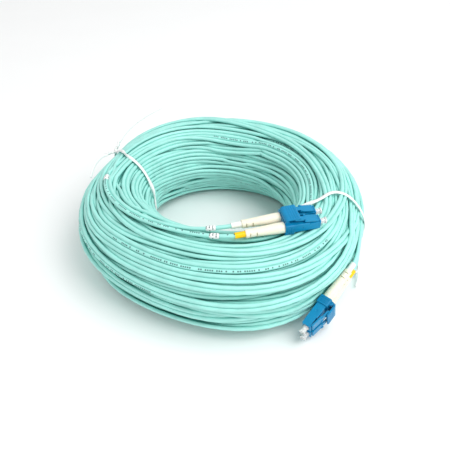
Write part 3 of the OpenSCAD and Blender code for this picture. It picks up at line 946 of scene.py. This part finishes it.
# How far a tail goes straight on before it bends, as a share of its length
TAIL_STRAIGHT = 0.35
# The tails' ends, where the skin is stripped thin: their size, and how far that reaches
TAIL_SHARE = 0.55
TAIL_MM = 16.0
# The strip's section; the corners at 1 mm are moved out to TIE_HALF_MM
TIE_OUTLINE_MM = [
    (-1.0, -TIE_SKIN_MM), (-0.5, -TIE_SKIN_MM), (-0.3, -TIE_WIRE_MM), (0.3, -TIE_WIRE_MM),
    (0.5, -TIE_SKIN_MM), (1.0, -TIE_SKIN_MM), (1.0, TIE_SKIN_MM), (0.5, TIE_SKIN_MM),
    (0.3, TIE_WIRE_MM), (-0.3, TIE_WIRE_MM), (-0.5, TIE_SKIN_MM), (-1.0, TIE_SKIN_MM),
]
# Azimuth of each tie on top in degrees; on its inner and outer side, with how late it gets there;
# the angle of its knot round the section; its half twists as (part of the loop, half turns); and
# its tails' ends, in mm from the coil's middle
TIES = {
    "left": {"top": 161, "inner": (183, 6.0), "outer": (146, 1.0), "knot": 42,
             "twists": ((0.13, 1), (0.30, -1), (0.62, 1)),
             "tails": ((-35, 62, 48), (-69, 12, 35))},
    "right": {"top": -13, "inner": (-40, 0.55), "outer": (-10, 1.0), "knot": -38,
              "twists": ((0.42, 1),), "tails": ((67.5, -28, 4), (66.5, -35.5, 2))},
}


def smooth_round(values, rounds):
    """Smooths values that go once round a closed loop."""
    for _ in range(rounds):
        values = (np.roll(values, 1) + 2 * values + np.roll(values, -1)) / 4
    return values


def tie_loop(lay, plan):
    """Points of a tight loop once round the bundle, from its knot and back to it, and the
    direction out of the bundle at each."""
    angle = math.radians(plan["knot"]) + np.linspace(0, 2 * np.pi, LOOP_POINTS + 1)[:-1]
    normal = np.stack([np.cos(angle), np.sin(angle)], -1)
    side = normal[:, 0]
    far, power = (np.where(side > 0, plan["outer"][n], plan["inner"][n]) for n in (0, 1))
    azimuth = np.radians(plan["top"] + (far - plan["top"]) * np.abs(side) ** power)
    azimuth = smooth_round(azimuth, TIE_SMOOTHINGS // 2)
    reach = []
    for n, k in enumerate(azimuth / (2 * np.pi) * SLICES - FIRST_SLICE):
        discs = np.concatenate([lay[int(math.floor(k)) % SLICES::SLICES],
                                lay[int(math.ceil(k)) % SLICES::SLICES]]).reshape(-1, 2)
        reach.append((discs @ normal[n]).max() + JACKET_MM / 2 + TIE_WIRE_MM)
    reach = smooth_round(np.array(reach), TIE_SMOOTHINGS)
    slope = (np.roll(reach, -1) - np.roll(reach, 1)) / (2 * (angle[1] - angle[0]))
    across, up = (reach[:, None] * normal + slope[:, None] * normal[:, ::-1] * (-1, 1)).T
    up = np.maximum(up, TIE_WIRE_MM - HALF_HEIGHT_MM)
    points = slice_point(azimuth, across, up)
    zero = np.zeros(len(angle))
    radial = np.stack([np.cos(azimuth), np.sin(azimuth), zero], -1)
    outward = side[:, None] * radial + np.stack([zero, zero, normal[:, 1]], -1)
    return np.append(points, points[:1], 0), np.append(outward, outward[:1], 0)


def resample(points, values, spacing):
    """Evenly spaced points along a line, with the values that go with them."""
    along = steps_of(points)
    at = np.linspace(0, along[-1], max(3, int(along[-1] / spacing)))
    pick = [np.stack([np.interp(at, along, v[:, k]) for k in range(v.shape[1])], -1)
            for v in (points, values)]
    return pick


def ease(x):
    """0 below 0 and 1 above 1, with a smooth step between."""
    x = np.clip(x, 0, 1)
    return x * x * (3 - 2 * x)


def twist_tie(name, plan):
    """One tie: tail, knot, loop, knot, tail, as one flat strip with a wire inside."""
    loop, outward = resample(*tie_loop(lay, plan), 1.0)
    for _ in range(LOOP_SMOOTHINGS):
        loop[1:-1] = (loop[:-2] + 2 * loop[1:-1] + loop[2:]) / 4
    ahead = np.gradient(loop, axis=0)
    wide = np.cross(ahead / np.linalg.norm(ahead, axis=1, keepdims=True), outward)
    part = np.linspace(0, 1, len(loop))
    twist = sum(turns * np.pi * ease((part - place) / TWIST_SHARE + 0.5)
                for place, turns in plan["twists"])
    flat = wide * np.cos(twist)[:, None] + outward * np.sin(twist)[:, None]
    base = (loop[0] + loop[-1]) / 2
    normal = outward[0]
    ends = []
    for phase, tail in zip((0.0, math.pi), plan["tails"]):
        aim = np.array(tail, float) - base
        axis = aim / np.linalg.norm(aim) + KNOT_LEAN * normal
        axis /= np.linalg.norm(axis)
        side = np.cross(axis, normal)
        side /= np.linalg.norm(side)
        lift = np.cross(side, axis)
        t = np.linspace(0.08, 1, SPIRAL_POINTS)[:, None]
        angle = 2 * np.pi * KNOT_TURNS * t + phase
        spiral = (base + KNOT_OFF_MM * normal + axis * KNOT_MM * t
                  + KNOT_R_MM * (np.cos(angle) * side + np.sin(angle) * lift))
        s = np.linspace(0.05, 1, TAIL_POINTS)[:, None]
        bend = spiral[-1] + axis * TAIL_STRAIGHT * np.linalg.norm(aim)
        free = (1 - s) ** 2 * spiral[-1] + 2 * s * (1 - s) * bend + s ** 2 * np.array(tail, float)
        line = np.concatenate([spiral, free])
        face = np.cos(angle) * lift - np.sin(angle) * side
        face = np.concatenate([face, np.repeat(face[-1:], len(free), 0)])
        ends.append((line, face))
    (line_a, face_a), (line_b, face_b) = ends
    points = np.concatenate([line_a[::-1], loop[1:-1], line_b])
    faces = np.concatenate([face_a[::-1], flat[1:-1], face_b])
    for i in range(1, len(faces)):
        if faces[i] @ faces[i - 1] < 0 and i not in range(len(line_a), len(line_a) + len(loop)):
            faces[i] *= -1
    points, faces = resample(points, faces, TIE_STEP_MM)
    for _ in range(2):
        points[1:-1] = (points[:-2] + 2 * points[1:-1] + points[2:]) / 4
        faces[1:-1] = (faces[:-2] + 2 * faces[1:-1] + faces[2:]) / 4
    points[:, 2] = np.maximum(points[:, 2], TIE_WIRE_MM)
    path = to_world(points)
    first, second = tube_frames(path, faces)
    outline = np.array(TIE_OUTLINE_MM) * MM
    outline[:, 0] *= np.where(np.abs(outline[:, 0]) > 0.9 * MM, TIE_HALF_MM, 1.0)
    tail = np.minimum(np.arange(len(points)), np.arange(len(points))[::-1]) * TIE_STEP_MM
    thin = TAIL_SHARE + (1 - TAIL_SHARE) * ease(tail / TAIL_MM)
    strip = sweep(name, path, first, second, outline, thin)
    strip.data.materials.append(TIE)
    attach(strip, "root")
    return strip


ties = []
for side, plan in TIES.items():
    strip = twist_tie(f"twist_tie_{side}", plan)
    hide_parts(f"tie_{side}")
    ties.append(strip)


def pieces_on_end_a(n):
    """The pieces that hang on jacket n's far end, at plug a, and on its coil."""
    found = [pieces[f"{piece}_a{n}"] for piece in CHANNEL_PIECES]
    if n == 1:
        found += [pieces["duplex_clip_a"], pieces["trigger_a"], web, *ties]
    return found


for n in (1, 2):
    path = worlds[n - 1]
    pieces_on_end_a(n)

# ---- Floor and light ----

FLOOR_REACH = 3.0
KEY_PLACE = (0.40, -0.22, 0.70)
KEY_SIZE = 0.60
KEY_WATTS = 4.4
FILL_PLACE = (0.1, -0.8, 0.5)
FILL_SIZE = 0.8
FILL_WATTS = 0.8
WORLD_STRENGTH = 0.76

corners = [(x * FLOOR_REACH, y * FLOOR_REACH, 0) for x, y in ((-1, -1), (1, -1), (1, 1), (-1, 1))]
floor = mesh_object("floor", corners, [(0, 1, 2, 3)], smooth=False)
floor.data.materials.append(
    moulded("floor_paint", (0.93, 0.94, 0.94), 0.8, grain_mm=3.0, depth_mm=0.01, mottle=0.004)[0]
)


def area_light(name, place, size, power):
    """A square light that shines on the coil's middle."""
    data = bpy.data.lights.new(name, "AREA")
    data.size = size
    data.energy = power
    light = bpy.data.objects.new(name, data)
    light.location = place
    light.rotation_euler = (-Vector(place)).to_track_quat("-Z", "Y").to_euler()
    scene.collection.objects.link(light)


area_light("key", KEY_PLACE, KEY_SIZE, KEY_WATTS)
area_light("fill", FILL_PLACE, FILL_SIZE, FILL_WATTS)
world = bpy.data.worlds.new("world")
scene.world = world
world.use_nodes = True
world.node_tree.nodes["Background"].inputs["Color"].default_value = (1, 1, 1, 1)
world.node_tree.nodes["Background"].inputs["Strength"].default_value = WORLD_STRENGTH
scene.view_settings.view_transform = "Standard"
